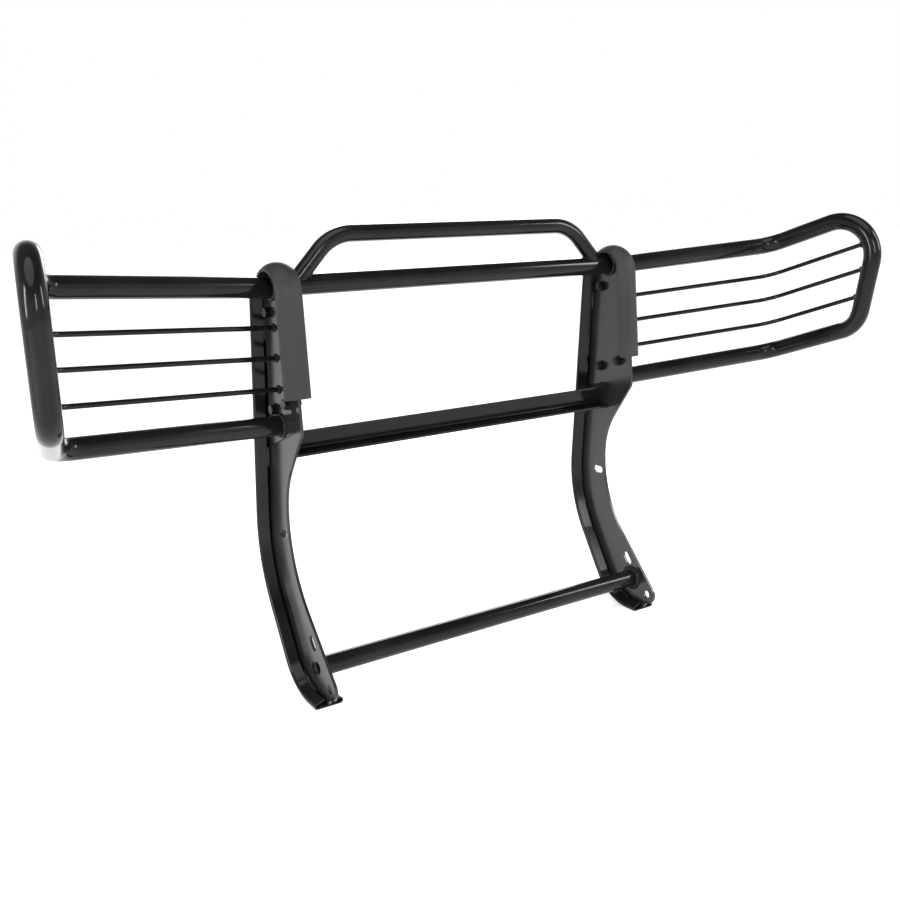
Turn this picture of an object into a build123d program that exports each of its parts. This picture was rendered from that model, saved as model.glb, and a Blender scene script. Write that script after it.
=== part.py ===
from build123d import *
import os
from math import cos, radians, sin, tan

# Front grille guard for a pickup truck, standing on its two toes.
# X runs across the vehicle, +Y points forward, away from the vehicle, and Z is up.
# The origin is on the ground, under the middle of the whole guard.
# The right-hand pieces (X > 0) are modelled and the left-hand ones are their mirror images.

# ---- driving dimensions, in millimetres ----
bar_z = 781.0               # height of the upper crossbar's axis above the ground
line_y = 144.5              # the line of the wing bolts stands this far ahead of the origin
plate_x = 404.8             # middle of each upright plate
plate_thick = 6.0

# front channel of an upright, its two legs folded back in beside the plate
channel_width = 60.0
channel_wall = 3.5
channel_corner = 6.0
channel_leg = 18.0          # length of a leg past its fold
channel_fold = 156.0        # degrees that each leg is folded
channel_top = -14.0         # its upper end, below the upper crossbar's axis
front_y = 38.0              # front face, ahead of the bolt line, level with the upper crossbar
front_lean = 5.14           # degrees that the upper part leans
leg_sweep = 31.0            # degrees that the leg sweeps back
knee_drop = 545.0           # sharp corner between upper part and leg
knee_radius = 300.0
toe_radius = 120.0
toe_end_y = -147.0

# tubes and rods
tube_d = 38.1
tube_wall = 2.5
hoop_d = 31.75
hoop_wall = 2.0
rod_d = 9.5

# crossbars, as distances from the bolt line and from the upper crossbar's axis
bar_y = -20.0
lower_y, lower_z = -110.6, -714.3
mid_top = -268.0
mid_height = 52.0
mid_depth = 36.0
mid_wall = 4.5
mid_front = 7.0             # its front face, level with its top
mid_corner = 9.0

# centre hoop
hoop_rise = 90.0
hoop_corner_x = 286.0
hoop_foot_x = 371.0
hoop_radius = 95.0

# upright plate
rear_lean = 4.3             # degrees that its rear edge leans, from the shoulder up
lobe_z = -9.5               # where the rounded top starts
lobe_radius = 50.0
rear_shoulder = (-98.5, -263.2)
rear_waist_y = -11.0
shoulder_slope = 36.0       # degrees from the vertical, shoulder to waist
leg_rear_slope = 42.0       # degrees from the vertical, waist to foot
leg_curve = 260.0
waist_curve = 160.0
shoulder_curve = 22.0
end_hole = (-160.0, -741.0)
end_hole_d = 17.5
end_radius = 22.5
knee_slot = (9.8, -477.5)    # level
leg_slot = (-95.0, -671.0)
leg_slot_angle = 52.0       # degrees from level
bolt_slot_length = 31.75
bolt_slot_width = 15.9
end_slot = (-105.0, -718.0)  # opens onto the lower crossbar's end
end_slot_length = 38.0
end_slot_width = 24.0
end_slot_angle = -20.0

# wing bracket and its bolts
bracket_thick = 5.0
bracket_top = 12.0
bracket_front = 20.0
bracket_front_low = 27.0
bracket_bottom = -303.0
bracket_inset = 23.0        # ahead of the upright plate's rear edge line
bracket_rear_low = -77.0
bracket_rear_bottom = -262.0
bracket_corner = 14.0
bolt_places = [(0.0, -47.3), (0.0, -228.8), (-59.2, -211.0)]
bolt_d = 12.0
bolt_hole_d = 13.0
head_across = 18.0
head_height = 7.5
head_chamfer = 1.0
nut_height = 10.0
washer_d = 24.0
washer_thick = 2.5
thread_past_nut = 2.5

# wings: the loop tube's sharp corners and the bend that the rods share
wing_start = [(-15.0, -2.6), (-17.0, -75.2), (-19.0, -131.0), (-22.0, -188.9), (-23.0, -257.0)]
bend_x = 840.0
inner_yaw = 11.7            # degrees that a wing's inner run is swept back
inner_rise = 4.1            # degrees that it climbs
outer_dir = (0.1854, -0.9290, 0.3202)
outer_top_run = 284.0
outer_bottom_run = 230.0
bend_radius = 55.0
loop_top_radius = 78.0
loop_bottom_radius = 62.0

# rubber pad
pad_width = 52.0
pad_lip = 8.0               # how far it wraps onto the plate's sides
pad_shoulder = -3.0         # its face's side edges, outside the plate's rear edge
pad_crown = 7.5             # the middle of its face
pad_bottom = -199.0
pad_tip_angle = 36.0

# ---- worked out ----
inner_face = plate_x - plate_thick / 2
outer_face = plate_x + plate_thick / 2
bracket_face = outer_face + bracket_thick
tube_r = tube_d / 2
toe_z = -bar_z


def at(y, z):
    """A point of the side view, from the bolt line and the upper crossbar's axis."""
    return (line_y + y, bar_z + z)


def space(x, y, z):
    return (x, line_y + y, bar_z + z)


def front_corners(inset, end_y):
    """Sharp corners of the upright's front edge as far as end_y, moved back by inset."""
    lean, sweep = radians(front_lean), radians(leg_sweep)
    knee_y = front_y + knee_drop * tan(lean)
    toe_y = knee_y - (-knee_drop - toe_z) * tan(sweep)
    top = (front_y - channel_top * tan(lean), channel_top)
    corners = [top, (knee_y, -knee_drop), (toe_y, toe_z), (end_y, toe_z)]
    normals = [(-cos(lean), -sin(lean)), (-cos(sweep), sin(sweep)), (0.0, 1.0)]
    moved = []
    for i, (y, z) in enumerate(corners):
        a = normals[max(i - 1, 0)]
        b = normals[min(i, 2)]
        k = inset / (1 + a[0] * b[0] + a[1] * b[1])
        moved.append(at(y + k * (a[0] + b[0]), z + k * (a[1] + b[1])))
    return moved


def front_edge(inset, end_y):
    corners = front_corners(inset, end_y)
    return FilletPolyline(*corners, radius=[knee_radius - inset, toe_radius - inset])


def rear_line_y(z):
    """The plate's straight rear edge behind the pad, as a distance from the bolt line."""
    return rear_shoulder[0] + (z - rear_shoulder[1]) * tan(radians(rear_lean))


def channel_section(width, depth, wall, corner):
    """Section of a square channel: its web lies on the X axis and its legs point to +Y."""
    half = width / 2
    with BuildSketch() as section:
        with BuildLine():
            a = FilletPolyline((-half, depth), (-half, 0), (half, 0), (half, depth), radius=corner)
            b = FilletPolyline(
                (wall - half, depth),
                (wall - half, wall),
                (half - wall, wall),
                (half - wall, depth),
                radius=corner - wall,
            )
            Line(a @ 0, b @ 0)
            Line(a @ 1, b @ 1)
        make_face()
    return section.sketch


def bent_path(points, radii):
    """Straight runs through the points, joined by tangent arcs of the given radii."""
    with BuildLine() as path:
        FilletPolyline(*points, radius=radii)
    return path.line


def mirrored(part):
    return mirror(part, about=Plane.YZ)


def save(part, name):
    part.label = name
    export_step(part, f"parts/{name}.step")


def save_pair(part, name):
    save(mirrored(part), f"left_{name}")
    save(part, f"right_{name}")


os.makedirs("parts", exist_ok=True)

# ---- upright plate ----
rear_run = end_hole[0] - end_radius * cos(radians(leg_rear_slope))
rear_start = (rear_run, end_hole[1] + end_radius * sin(radians(leg_rear_slope)))
waist_low = rear_start[1] + (rear_waist_y - rear_start[0]) / tan(radians(leg_rear_slope))
waist_high = rear_shoulder[1] - (rear_waist_y - rear_shoulder[0]) / tan(radians(shoulder_slope))
with BuildPart() as plate:
    with BuildSketch(Plane.YZ.offset(inner_face)) as outline:
        with BuildLine():
            front = front_edge(channel_wall, toe_end_y)
            rear = FilletPolyline(
                at(*rear_start),
                at(rear_waist_y, waist_low),
                at(rear_waist_y, waist_high),
                at(*rear_shoulder),
                at(rear_line_y(lobe_z), lobe_z),
                radius=[leg_curve, waist_curve, shoulder_curve],
            )
            lobe = JernArc(rear @ 1, rear % 1, lobe_radius, rear_lean - 180)
            Line(lobe @ 1, front @ 0)
            Polyline(front @ 1, at(end_hole[0], end_hole[1] - end_radius), at(*end_hole), rear @ 0)
        make_face()
        with Locations(at(*end_hole)):
            Circle(end_radius)
        with Locations(at(*end_hole)):
            Circle(end_hole_d / 2, mode=Mode.SUBTRACT)
        with Locations(Location(at(*end_slot), end_slot_angle)):
            SlotOverall(end_slot_length, end_slot_width, mode=Mode.SUBTRACT)
        with Locations(at(*knee_slot), Location(at(*leg_slot), leg_slot_angle)):
            SlotOverall(bolt_slot_length, bolt_slot_width, mode=Mode.SUBTRACT)
        with Locations([at(*place) for place in bolt_places]):
            Circle(bolt_hole_d / 2, mode=Mode.SUBTRACT)
    extrude(amount=plate_thick)
save_pair(plate.part, "upright_plate")

# ---- front channel of the upright ----
with BuildSketch() as upright_section:
    with BuildLine():
        leg_ends = []
        for inset in (0, channel_wall):
            web = Line((0, inset), (channel_width / 2 - channel_corner, inset))
            fold = JernArc(web @ 1, (1, 0), channel_corner - inset, channel_fold)
            leg = Line(fold @ 1, fold @ 1 + (fold % 1) * channel_leg)
            leg_ends.append(leg @ 1)
        Line(*leg_ends)
        mirror(about=Plane.YZ)
    make_face()
with BuildPart() as channel:
    with BuildLine(Plane.YZ.offset(plate_x)) as channel_path:
        front_edge(0, toe_end_y)
    with BuildSketch(Plane(channel_path.line @ 0, x_dir=(1, 0, 0), z_dir=channel_path.line % 0)):
        add(upright_section.sketch)
    sweep()
save_pair(channel.part, "upright_channel")

# ---- crossbars ----
with BuildPart() as upper_bar:
    with BuildSketch(Plane(space(-inner_face, bar_y, 0), x_dir=(0, 1, 0), z_dir=(1, 0, 0))):
        Circle(tube_r)
        Circle(tube_r - tube_wall, mode=Mode.SUBTRACT)
    extrude(amount=2 * inner_face)
save(upper_bar.part, "upper_crossbar")

with BuildPart() as lower_bar:
    with BuildSketch(Plane(space(-inner_face, lower_y, lower_z), x_dir=(0, 1, 0), z_dir=(1, 0, 0))):
        Circle(tube_r)
        Circle(tube_r - tube_wall, mode=Mode.SUBTRACT)
    extrude(amount=2 * inner_face)
save(lower_bar.part, "lower_crossbar")

mid_section = channel_section(mid_height, mid_depth, mid_wall, mid_corner)
mid_down = (0, sin(radians(front_lean)), -cos(radians(front_lean)))
mid_plane = Plane(space(inner_face, mid_front, mid_top), x_dir=mid_down, z_dir=(-1, 0, 0))
with BuildPart() as mid_bar:
    with BuildSketch(mid_plane):
        with Locations((mid_height / 2, 0)):
            add(mid_section)
    extrude(amount=2 * inner_face)
save(mid_bar.part, "mid_crossbar")

# ---- centre hoop, coped onto the upper crossbar ----
with BuildPart() as hoop:
    with BuildLine(Plane.XZ.offset(-line_y - bar_y)) as hoop_path:
        FilletPolyline(
            (-hoop_foot_x, bar_z),
            (-hoop_corner_x, bar_z + hoop_rise),
            (hoop_corner_x, bar_z + hoop_rise),
            (hoop_foot_x, bar_z),
            radius=hoop_radius,
        )
    with BuildSketch(Plane(hoop_path.line @ 0, z_dir=hoop_path.line % 0)):
        Circle(hoop_d / 2)
        Circle(hoop_d / 2 - hoop_wall, mode=Mode.SUBTRACT)
    sweep()
    with BuildSketch(Plane(space(-outer_face, bar_y, 0), x_dir=(0, 1, 0), z_dir=(1, 0, 0))):
        Circle(tube_r)
    extrude(amount=2 * outer_face, mode=Mode.SUBTRACT)
save(hoop.part, "center_hoop")

# ---- wing loop tube ----
inner_dir = Vector(1, -tan(radians(inner_yaw)), tan(radians(inner_rise)))
run_out = bend_x - outer_face
starts = [Vector(*space(outer_face, *place)) for place in wing_start]
bends = [start + inner_dir * run_out for start in starts]
top_end = bends[0] + Vector(*outer_dir) * outer_top_run
bottom_end = bends[-1] + Vector(*outer_dir) * outer_bottom_run

wing_path = bent_path(
    [starts[0], bends[0], top_end, bottom_end, bends[-1], starts[-1]],
    [bend_radius, loop_top_radius, loop_bottom_radius, bend_radius],
)
with BuildPart() as wing_solid:
    with BuildSketch(Plane(wing_path @ 0, z_dir=wing_path % 0)):
        Circle(tube_r)
    sweep(path=wing_path)
    split(bisect_by=Plane.YZ.offset(bracket_face))
with BuildPart() as wing_tube:
    with BuildSketch(Plane(wing_path @ 0, z_dir=wing_path % 0)):
        Circle(tube_r)
        Circle(tube_r - tube_wall, mode=Mode.SUBTRACT)
    sweep(path=wing_path)
    split(bisect_by=Plane.YZ.offset(bracket_face))
save_pair(wing_tube.part, "wing_tube")

# ---- wing rods, coped onto the loop's end leg ----
for i, name in enumerate(["upper", "middle", "lower"], start=1):
    share = (bends[0].Z - bends[i].Z) / (bends[0].Z - bends[-1].Z)
    run = outer_top_run + share * (outer_bottom_run - outer_top_run)
    rod_path = bent_path([starts[i], bends[i], bends[i] + Vector(*outer_dir) * run], [bend_radius])
    with BuildPart() as rod:
        with BuildSketch(Plane(rod_path @ 0, z_dir=rod_path % 0)):
            Circle(rod_d / 2)
        sweep(path=rod_path)
        split(bisect_by=Plane.YZ.offset(bracket_face))
        add(wing_solid.part, mode=Mode.SUBTRACT)
    save_pair(rod.part, f"wing_rod_{name}")

# ---- wing bracket ----
with BuildPart() as bracket:
    with BuildSketch(Plane.YZ.offset(outer_face)):
        with BuildLine():
            FilletPolyline(
                at(bracket_front, bracket_top),
                at(bracket_front_low, bracket_bottom),
                at(bracket_rear_low, bracket_rear_bottom),
                at(rear_line_y(bracket_top) + bracket_inset, bracket_top),
                radius=bracket_corner,
                close=True,
            )
        make_face()
        with Locations([at(*place) for place in bolt_places]):
            Circle(bolt_hole_d / 2, mode=Mode.SUBTRACT)
    extrude(amount=bracket_thick)
save_pair(bracket.part, "wing_bracket")

# ---- wing bolts, washers and nuts ----
bolt_spots = [at(*place) for place in bolt_places]
head_face = bracket_face + washer_thick
nut_face = inner_face - washer_thick
with BuildPart() as bolts:
    with BuildSketch(Plane.YZ.offset(head_face)):
        with Locations(bolt_spots):
            RegularPolygon(head_across / 2, 6, major_radius=False)
    extrude(amount=head_height)
    chamfer(bolts.faces().filter_by(Axis.X).group_by(Axis.X)[-1].edges(), head_chamfer)
    with BuildSketch(Plane.YZ.offset(nut_face - nut_height - thread_past_nut)):
        with Locations(bolt_spots):
            Circle(bolt_d / 2)
    extrude(amount=head_face - nut_face + nut_height + thread_past_nut)
save_pair(bolts.part, "wing_bolts")

with BuildPart() as washers:
    with BuildSketch(Plane.YZ.offset(bracket_face), Plane.YZ.offset(nut_face)):
        with Locations(bolt_spots):
            Circle(washer_d / 2)
            Circle(bolt_hole_d / 2, mode=Mode.SUBTRACT)
    extrude(amount=washer_thick)
save_pair(washers.part, "wing_washers")

with BuildPart() as nuts:
    with BuildSketch(Plane.YZ.offset(nut_face)):
        with Locations(bolt_spots):
            RegularPolygon(head_across / 2, 6, major_radius=False)
    extrude(amount=-nut_height)
    chamfer(nuts.faces().filter_by(Axis.X).group_by(Axis.X)[0].edges(), head_chamfer)
    with BuildSketch(Plane.YZ.offset(nut_face)):
        with Locations(bolt_spots):
            Circle(bolt_d / 2)
    extrude(amount=-nut_height, mode=Mode.SUBTRACT)
save_pair(nuts.part, "wing_nuts")

# ---- rubber pad, slotted over the plate's rear edge ----
with BuildPart() as pad:
    with BuildLine(Plane.YZ.offset(plate_x)) as pad_path:
        rise = Line(at(rear_line_y(pad_bottom), pad_bottom), at(rear_line_y(lobe_z), lobe_z))
        JernArc(rise @ 1, rise % 1, lobe_radius, pad_tip_angle - 180)
    with BuildSketch(Plane(pad_path.line @ 0, x_dir=(1, 0, 0), z_dir=pad_path.line % 0)):
        with BuildLine():
            half = pad_width / 2
            Polyline((half, -pad_shoulder), (half, pad_lip), (-half, pad_lip), (-half, -pad_shoulder))
            ThreePointArc((-half, -pad_shoulder), (0, -pad_crown), (half, -pad_shoulder))
        make_face()
    sweep()
    add(plate.part, mode=Mode.SUBTRACT)
    add(bracket.part, mode=Mode.SUBTRACT)
save_pair(pad.part, "rubber_pad")
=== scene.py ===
"""Looks of the grille guard: coats, rubber, weld beads, studio and camera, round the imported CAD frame."""
import random
from math import atan2, ceil, cos, pi, radians, sin, sqrt, tau
import bpy
from mathutils import Matrix, Vector


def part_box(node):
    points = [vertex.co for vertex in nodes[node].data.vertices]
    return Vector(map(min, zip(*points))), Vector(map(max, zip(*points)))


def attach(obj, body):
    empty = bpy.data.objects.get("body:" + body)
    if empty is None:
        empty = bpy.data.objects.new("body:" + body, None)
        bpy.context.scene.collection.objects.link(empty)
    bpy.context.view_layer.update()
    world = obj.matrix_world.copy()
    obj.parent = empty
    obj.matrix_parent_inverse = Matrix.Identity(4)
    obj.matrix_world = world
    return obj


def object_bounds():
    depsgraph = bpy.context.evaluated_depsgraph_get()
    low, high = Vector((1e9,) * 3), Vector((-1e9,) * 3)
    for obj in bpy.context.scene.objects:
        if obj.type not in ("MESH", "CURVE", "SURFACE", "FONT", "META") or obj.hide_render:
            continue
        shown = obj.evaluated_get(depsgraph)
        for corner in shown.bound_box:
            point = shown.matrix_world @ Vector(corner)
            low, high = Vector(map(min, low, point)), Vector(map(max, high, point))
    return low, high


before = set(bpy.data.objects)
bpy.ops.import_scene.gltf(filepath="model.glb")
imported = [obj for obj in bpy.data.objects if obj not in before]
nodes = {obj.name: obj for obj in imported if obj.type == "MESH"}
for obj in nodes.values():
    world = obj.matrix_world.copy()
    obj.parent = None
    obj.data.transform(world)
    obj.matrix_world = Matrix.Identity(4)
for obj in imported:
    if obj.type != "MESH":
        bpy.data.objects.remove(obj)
cad_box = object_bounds()
MM = 0.001

# ---- driving values, in metres and degrees ----
wing_outer_dir = Vector((0.1854, -0.9290, 0.3202)).normalized()   # a wing's outer run, right side
rod_d = 9.5 * MM
rods = ("wing_rod_upper", "wing_rod_middle", "wing_rod_lower")
in_plane = 0.6 * MM          # how near a vertex is to a plane that it counts as in
bead_pitch = 3.4 * MM        # one ripple of a weld bead
bead_sides = 10
rings_per_ripple = 5

# weld passes round a crossbar's end: in from the plate, out from the tube, bead radius
bar_passes = ((1.6 * MM, 1.6 * MM, 4.0 * MM), (0.6 * MM, 5.8 * MM, 3.4 * MM))
passes_on = {"upper_crossbar": 1, "lower_crossbar": 2}
# the other beads' radii, and how far their paths stand off the tube or rod
rod_bead, rod_off, rod_out = 2.6 * MM, 1.2 * MM, 1.0 * MM
tip_bead, tip_off, tip_sunk, tip_length = 2.2 * MM, 0.8 * MM, 2.0 * MM, 5.0 * MM
tube_bead, tube_off = 3.6 * MM, 1.4 * MM
foot_bead, foot_near, foot_turns = 3.0 * MM, 0.3 * MM, 40
mid_bead, mid_inset = 3.4 * MM, 1.2 * MM
stitch_bead = 4.2 * MM
# the first random seed of each kind of bead
seeds = {"bar": 11, "rod": 31, "tube": 41, "tip": 51, "foot": 61, "mid": 71, "stitch": 81}

# stitch welds between a plate and its channel's legs, in the side view (y, z)
stitches = {
    "toe": ((0.0375, 0.0192), (0.0610, 0.0259), (0.0851, 0.0400)),
    "middle": ((0.1960, 0.4310), (0.1924, 0.4710)),
    "top": ((0.1734, 0.6810), (0.1698, 0.7210)),
}
stitch_out = 6.3 * MM        # from the plate's middle

camera_lens = 40.64          # on a 36 mm sensor
camera_azimuth = 33.13       # degrees from +Y towards +X
camera_elevation = 13.14     # degrees that it looks down
camera_roll = -1.44
camera_place = Vector((-1.1671, -1.6106, 0.9038))

floor_size, floor_albedo, floor_rough, floor_glow = 60.0, 0.92, 0.6, 0.45
# the world's strength falls from the first to the second between these heights of direction
sky_heights, sky_strengths = (0.22, 0.62), (1.0, 0.16)
overhead_power, overhead_angle, overhead_place = 1.6, 55, (-0.5, -0.9, 3.4)
# each softbox: place, width, height and watts
softboxes = {
    "strip_left": ((-3.1, -0.7, 1.4), 0.45, 1.6, 60),
    "strip_camera": ((-0.5, -3.4, 1.9), 0.35, 1.4, 40),
    "strip_right": ((2.6, -1.8, 2.0), 0.45, 1.6, 44),
    "rim_back": ((1.6, 2.6, 1.6), 1.8, 1.0, 36),
}


# ---- materials ----
def new_material(name):
    mat = bpy.data.materials.new(name)
    mat.use_nodes = True
    tree = mat.node_tree
    return mat, tree, tree.nodes["Principled BSDF"]


def add_node(tree, kind, **values):
    node = tree.nodes.new(kind)
    for key, value in values.items():
        if key in node.inputs:
            node.inputs[key].default_value = value
        else:
            setattr(node, key, value)
    return node


def object_coords(tree):
    return add_node(tree, "ShaderNodeTexCoord").outputs["Object"]


def noise(tree, coords, scale, detail, rough=0.5):
    node = add_node(tree, "ShaderNodeTexNoise", Scale=scale, Detail=detail, Roughness=rough)
    tree.links.new(coords, node.inputs["Vector"])
    return node.outputs["Fac"]


def map_range(tree, value, source, target, **values):
    node = add_node(tree, "ShaderNodeMapRange", **values)
    for label, (low, high) in (("From", source), ("To", target)):
        node.inputs[f"{label} Min"].default_value = low
        node.inputs[f"{label} Max"].default_value = high
    tree.links.new(value, node.inputs["Value"])
    return node.outputs["Result"]


def spread(tree, value, low, high):
    """Maps a noise value to a range."""
    return map_range(tree, value, (0.3, 0.7), (low, high))


def blend_colours(tree, value, dark, light):
    node = add_node(tree, "ShaderNodeMix", data_type="RGBA")
    node.inputs["A"].default_value = (*dark, 1)
    node.inputs["B"].default_value = (*light, 1)
    tree.links.new(value, node.inputs["Factor"])
    return node.outputs["Result"]


def bump(tree, shader, heights):
    """Chains bumps given as (height, strength, distance in metres)."""
    normal = None
    for height, strength, distance in heights:
        node = add_node(tree, "ShaderNodeBump", Strength=strength, Distance=distance)
        tree.links.new(height, node.inputs["Height"])
        if normal is not None:
            tree.links.new(normal, node.inputs["Normal"])
        normal = node.outputs["Normal"]
    tree.links.new(normal, shader.inputs["Normal"])


def gloss_coat(name, rough_low, rough_high, peel_strength, grain_strength, specular=0.2, painted_reflection_lift=1.0):
    """Black powder coat: an almost black base, orange peel and a gloss that varies softly; a lift above 1
    raises the base colour as painted reflection.
    """
    tones = ((0.0040, 0.0039, 0.0038), (0.0090, 0.0087, 0.0084))
    mat, tree, shader = new_material(name)
    coords = object_coords(tree)
    broad = noise(tree, coords, 9.0, 3.0)
    peel = noise(tree, coords, 420.0, 2.0)
    dust = noise(tree, coords, 1500.0, 3.0, 0.7)
    # the lift factor scales the coat's tones; above 1 it is painted reflection, not a lighter coat
    dark, light = [[painted_reflection_lift * c for c in tone] for tone in tones]
    colour = blend_colours(tree, spread(tree, broad, 0.0, 1.0), dark, light)
    tree.links.new(colour, shader.inputs["Base Color"])
    tree.links.new(spread(tree, broad, rough_low, rough_high), shader.inputs["Roughness"])
    shader.inputs["Specular IOR Level"].default_value = specular
    shader.inputs["IOR"].default_value = 1.5
    bump(tree, shader, [(peel, peel_strength, 0.0004), (dust, grain_strength, 0.0001)])
    return mat


def rubber(name):
    """Moulded rubber: matte, with a fine leathery grain."""
    dark, light = (0.018, 0.018, 0.0165), (0.027, 0.027, 0.025)
    mat, tree, shader = new_material(name)
    coords = object_coords(tree)
    broad = noise(tree, coords, 14.0, 4.0)
    grain = noise(tree, coords, 900.0, 4.0, 0.6)
    cells = add_node(tree, "ShaderNodeTexVoronoi", Scale=520.0)
    tree.links.new(coords, cells.inputs["Vector"])
    colour = blend_colours(tree, spread(tree, broad, 0.0, 1.0), dark, light)
    tree.links.new(colour, shader.inputs["Base Color"])
    tree.links.new(spread(tree, broad, 0.50, 0.60), shader.inputs["Roughness"])
    shader.inputs["Specular IOR Level"].default_value = 0.3
    bump(tree, shader, [(cells.outputs["Distance"], 0.25, 0.0004), (grain, 0.25, 0.0003)])
    return mat


coat = gloss_coat("black_coat", 0.10, 0.16, 0.10, 0.05)
# The plates share the black coat; the last argument raises their base colour 2.2 times as painted
# reflection of the bright floor their faces catch.
plate_coat_painted_reflection = gloss_coat("black_coat_plate_painted_reflection", 0.16, 0.24, 0.07, 0.02, 0.5, 2.2)
weld_coat = gloss_coat("black_coat_weld", 0.12, 0.22, 0.45, 0.20)
hardware = gloss_coat("black_hardware", 0.26, 0.38, 0.10, 0.15)
pad_rubber = rubber("pad_rubber")


def material_of(name):
    if "rubber_pad" in name:
        return pad_rubber
    if name.endswith(("bolts", "washers", "nuts")):
        return hardware
    # plates and brackets take the coat whose raised base colour is painted reflection
    if name.endswith(("upright_plate", "wing_bracket")):
        return plate_coat_painted_reflection
    return coat


for name, piece in nodes.items():
    piece.data.materials.clear()
    piece.data.materials.append(material_of(name))

# Soft edges, so that cut plate and folded channel catch the light as coated steel does.
edge_widths = {
    "upright_plate": 0.8 * MM,
    "wing_bracket": 0.8 * MM,
    "upright_channel": 0.8 * MM,
    "mid_crossbar": 0.8 * MM,
    "wing_bolts": 0.4 * MM,
    "wing_nuts": 0.4 * MM,
    "wing_washers": 0.4 * MM,
    "rubber_pad": 1.6 * MM,
}
for name, piece in nodes.items():
    for kind, width in edge_widths.items():
        if name.endswith(kind):
            bevel = piece.modifiers.new("soft_edges", "BEVEL")
            bevel.width = width
            bevel.segments = 3
            bevel.limit_method = "ANGLE"
            bevel.angle_limit = radians(35)
            bevel.harden_normals = True


# ---- weld beads ----
def resample(points, closed, step):
    """Points at an even step along a polyline."""
    run = points + [points[0]] if closed else points
    lengths = [(b - a).length for a, b in zip(run, run[1:])]
    total = sum(lengths)
    count = max(6, ceil(total / step))
    out = []
    i, gone = 0, 0.0
    for k in range(count if closed else count + 1):
        want = total * k / count
        while i < len(lengths) - 1 and gone + lengths[i] < want:
            gone += lengths[i]
            i += 1
        out.append(run[i].lerp(run[i + 1], (want - gone) / lengths[i]))
    return out, total


def weld_bead(name, points, radius, closed, seed):
    """A rippled bead of weld metal along a path, with the uneven width of hand welding."""
    path, total = resample(points, closed, bead_pitch / rings_per_ripple)
    chance = random.Random(seed)
    ripples = max(2, round(total / bead_pitch))
    sizes = [1.0 + chance.uniform(-0.10, 0.10) for _ in range(ripples + 2)]
    count = len(path)
    verts, faces = [], []
    for k, point in enumerate(path):
        before = path[k - 1] if k or closed else path[0]
        after = path[(k + 1) % count] if k + 1 < count or closed else path[-1]
        along = (after - before).normalized()
        side = along.cross(Vector((0.3, 0.5, 0.81))).normalized()
        rise = along.cross(side)
        phase = k / count * ripples
        scallop = sqrt(abs(sin(pi * phase)))
        size = radius * sizes[int(phase)] * (0.84 + 0.16 * scallop)
        if not closed:
            size *= sqrt(max(0.05, sin(pi * (k + 0.5) / count))) ** 0.4
        for j in range(bead_sides):
            turn = tau * j / bead_sides
            verts.append(point + size * (cos(turn) * side + sin(turn) * rise))
    rows = count if closed else count - 1
    for k in range(rows):
        a, b = k * bead_sides, (k + 1) % count * bead_sides
        for j in range(bead_sides):
            n = (j + 1) % bead_sides
            faces.append((a + j, a + n, b + n, b + j))
    if not closed:
        faces.append(tuple(range(bead_sides)))
        faces.append(tuple(range((count - 1) * bead_sides, count * bead_sides))[::-1])
    mesh = bpy.data.meshes.new(name)
    mesh.from_pydata(verts, [], faces)
    mesh.validate()
    for face in mesh.polygons:
        face.use_smooth = True
    mesh.materials.append(weld_coat)
    piece = bpy.data.objects.new(name, mesh)
    bpy.context.scene.collection.objects.link(piece)
    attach(piece, "root")


def ring(centre, axis, radius, count=48):
    """A circle of points about an axis."""
    axis = axis.normalized()
    side = axis.cross(Vector((0.0, 0.0, 1.0))).normalized()
    rise = axis.cross(side)
    turns = [tau * k / count for k in range(count)]
    return [centre + radius * (cos(turn) * side + sin(turn) * rise) for turn in turns]


def section_at(name, x):
    """A node's vertices in a plane across X."""
    return [v.co for v in nodes[name].data.vertices if abs(v.co.x - x) < in_plane]


def limits(points):
    """The centre of the points' box, and half its height."""
    low = Vector([min(co[i] for co in points) for i in range(3)])
    high = Vector([max(co[i] for co in points) for i in range(3)])
    return (low + high) / 2, (high.z - low.z) / 2


sides = {"left": -1.0, "right": 1.0}
plate_low, plate_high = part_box("right_upright_plate")
inner_face, outer_face = plate_low[0], plate_high[0]
bracket_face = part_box("right_wing_bracket")[1][0]
X = Vector((1.0, 0.0, 0.0))

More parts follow.
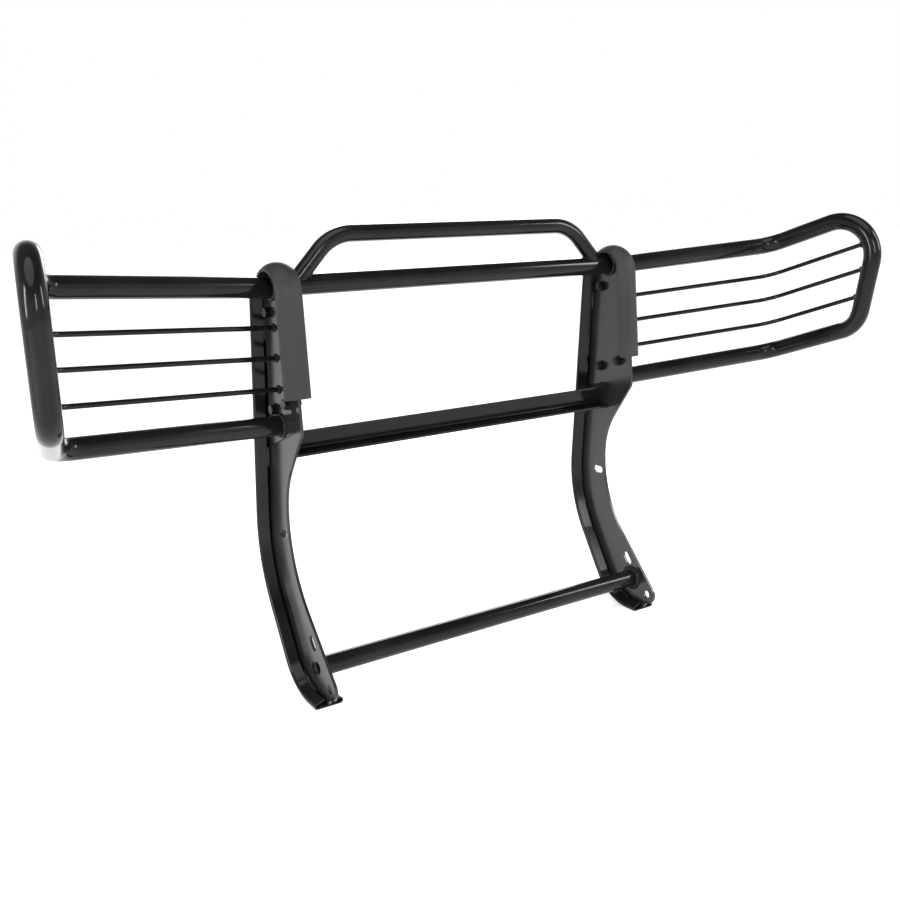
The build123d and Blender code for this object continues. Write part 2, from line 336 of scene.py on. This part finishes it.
for side, sign in sides.items():
    # crossbars on the plates
    for bar, passes in passes_on.items():
        centre, tube_r = limits([Vector(corner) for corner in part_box(bar)])
        for step, (inset, out, radius) in enumerate(bar_passes[:passes]):
            place = Vector((sign * (inner_face - inset), centre.y, centre.z))
            path = ring(place, X, tube_r + out)
            weld_bead(f"{side}_{bar}_weld_{step + 1}", path, radius, True, seeds["bar"] + step)
    # rods and wing tube on the bracket
    for k, rod in enumerate(rods):
        centre, _ = limits(section_at(f"{side}_{rod}", sign * bracket_face))
        path = ring(centre + X * sign * rod_out, X, rod_d / 2 + rod_off, 24)
        weld_bead(f"{side}_{rod}_weld", path, rod_bead, True, seeds["rod"] + k)
    tube = section_at(f"{side}_wing_tube", sign * bracket_face)
    centre, _ = limits(tube)
    ends = {
        "top": [co for co in tube if co.z > centre.z],
        "bottom": [co for co in tube if co.z < centre.z],
    }
    for label, end in ends.items():
        centre, reach = limits(end)
        path = ring(centre + X * sign * tube_off, X, reach + tube_off)
        weld_bead(f"{side}_wing_tube_weld_{label}", path, tube_bead, True, seeds["tube"])
    # rods on the loop's end leg
    outward = Vector((sign * wing_outer_dir.x, wing_outer_dir.y, wing_outer_dir.z))
    for k, rod in enumerate(rods):
        points = [v.co for v in nodes[f"{side}_{rod}"].data.vertices]
        far = max(co.dot(outward) for co in points)
        tip = [co for co in points if co.dot(outward) > far - tip_length]
        centre = sum(tip, Vector()) / len(tip)
        place = centre + outward * (far - tip_sunk - centre.dot(outward))
        path = ring(place, outward, rod_d / 2 + tip_off, 24)
        weld_bead(f"{side}_{rod}_end_weld", path, tip_bead, True, seeds["tip"] + k)
    # the hoop's foot on the upper crossbar: the outermost vertex in each direction on the bar's surface
    centre, tube_r = limits([Vector(corner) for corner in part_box("upper_crossbar")])
    foot = [
        v.co
        for v in nodes["center_hoop"].data.vertices
        if sign * v.co.x > 0
        and abs(Vector((0, v.co.y - centre.y, v.co.z - centre.z)).length - tube_r) < foot_near
    ]
    centre = sum(foot, Vector()) / len(foot)
    reach = {}
    for co in foot:
        turn = round(atan2(co.y - centre.y, co.x - centre.x) / tau * foot_turns)
        flat = Vector((co.x - centre.x, co.y - centre.y)).length
        if turn not in reach or flat > reach[turn][0]:
            reach[turn] = (flat, co)
    path = [reach[turn][1] for turn in sorted(reach) if turn < foot_turns // 2]
    weld_bead(f"{side}_center_hoop_weld", path, foot_bead, True, seeds["foot"])
    # the mid crossbar's end on the plate, along its top and its bottom, rear to front
    end = section_at("mid_crossbar", sign * inner_face)
    for k, (label, up) in enumerate((("top", 1), ("bottom", -1))):
        rear = max(end, key=lambda co: up * co.z - 3 * co.y)
        front = max(end, key=lambda co: 3 * up * co.z + co.y)
        path = [corner - X * sign * mid_inset for corner in (rear, front)]
        weld_bead(f"{side}_mid_crossbar_weld_{label}", path, mid_bead, False, seeds["mid"] + k)
    # plate and channel
    for k, (label, places) in enumerate(stitches.items()):
        for face, out in (("inner", -stitch_out), ("outer", stitch_out)):
            path = [Vector((sign * ((inner_face + outer_face) / 2 + out), y, z)) for y, z in places]
            name = f"{side}_upright_weld_{label}_{face}"
            weld_bead(name, path, stitch_bead, False, seeds["stitch"] + k)


# ---- studio ----
low, high = [Vector(corner) for corner in cad_box]
middle = (low + high) / 2


bpy.ops.mesh.primitive_plane_add(size=floor_size, location=(0, 0, low.z))
floor = bpy.context.object
floor.name = "studio_floor"
mat, tree, shader = new_material("studio_floor")
tint = spread(tree, noise(tree, object_coords(tree), 3.0, 2.0), 0.0, 1.0)
colour = blend_colours(tree, tint, [floor_albedo] * 3, [floor_albedo * 0.995] * 3)
tree.links.new(colour, shader.inputs["Base Color"])
shader.inputs["Roughness"].default_value = floor_rough
shader.inputs["Emission Color"].default_value = (1, 1, 1, 1)
shader.inputs["Emission Strength"].default_value = floor_glow
floor.data.materials.append(mat)

# White round the horizon, falling to a dim ceiling, so that gloss black keeps its blacks.
world = bpy.data.worlds.new("studio_world")
bpy.context.scene.world = world
world.use_nodes = True
sky = world.node_tree
direction = add_node(sky, "ShaderNodeTexCoord").outputs["Generated"]
parts = add_node(sky, "ShaderNodeSeparateXYZ")
sky.links.new(direction, parts.inputs["Vector"])
fall = map_range(sky, parts.outputs["Z"], sky_heights, sky_strengths, interpolation_type="SMOOTHSTEP")
sky.links.new(fall, sky.nodes["Background"].inputs["Strength"])
sky.nodes["Background"].inputs["Color"].default_value = (1, 1, 1, 1)
bpy.context.scene.view_settings.view_transform = "Standard"


def lamp_at(name, data, place, aim):
    lamp = bpy.data.objects.new(name, data)
    lamp.location = place
    lamp.rotation_euler = (Vector(aim) - Vector(place)).to_track_quat("-Z", "Y").to_euler()
    bpy.context.scene.collection.objects.link(lamp)


def softbox(name, place, aim, width, height, power):
    data = bpy.data.lights.new(name, "AREA")
    data.shape = "RECTANGLE"
    data.size = width
    data.size_y = height
    data.energy = power
    lamp_at(name, data, place, aim)


# one even overhead light for the object and the whole floor, then narrow boxes for the streaks
overhead = bpy.data.lights.new("overhead", "SUN")
overhead.energy = overhead_power
overhead.angle = radians(overhead_angle)
lamp_at("overhead", overhead, overhead_place, (0, 0, 0))
for name, (place, width, height, power) in softboxes.items():
    softbox(name, place, middle, width, height, power)

# ---- camera ----
turn, tilt, roll = radians(camera_azimuth), radians(camera_elevation), radians(camera_roll)
forward = Vector((sin(turn) * cos(tilt), cos(turn) * cos(tilt), -sin(tilt)))
level = Vector((cos(turn), -sin(turn), 0.0))
upward = level.cross(forward)
right = cos(roll) * level + sin(roll) * upward
up = cos(roll) * upward - sin(roll) * level
lens = bpy.data.cameras.new("camera")
lens.lens = camera_lens
lens.sensor_width = 36.0
camera = bpy.data.objects.new("camera", lens)
facing = Matrix((right, up, -forward)).transposed().to_4x4()
camera.matrix_world = Matrix.Translation(camera_place) @ facing
bpy.context.scene.collection.objects.link(camera)
bpy.context.scene.camera = camera
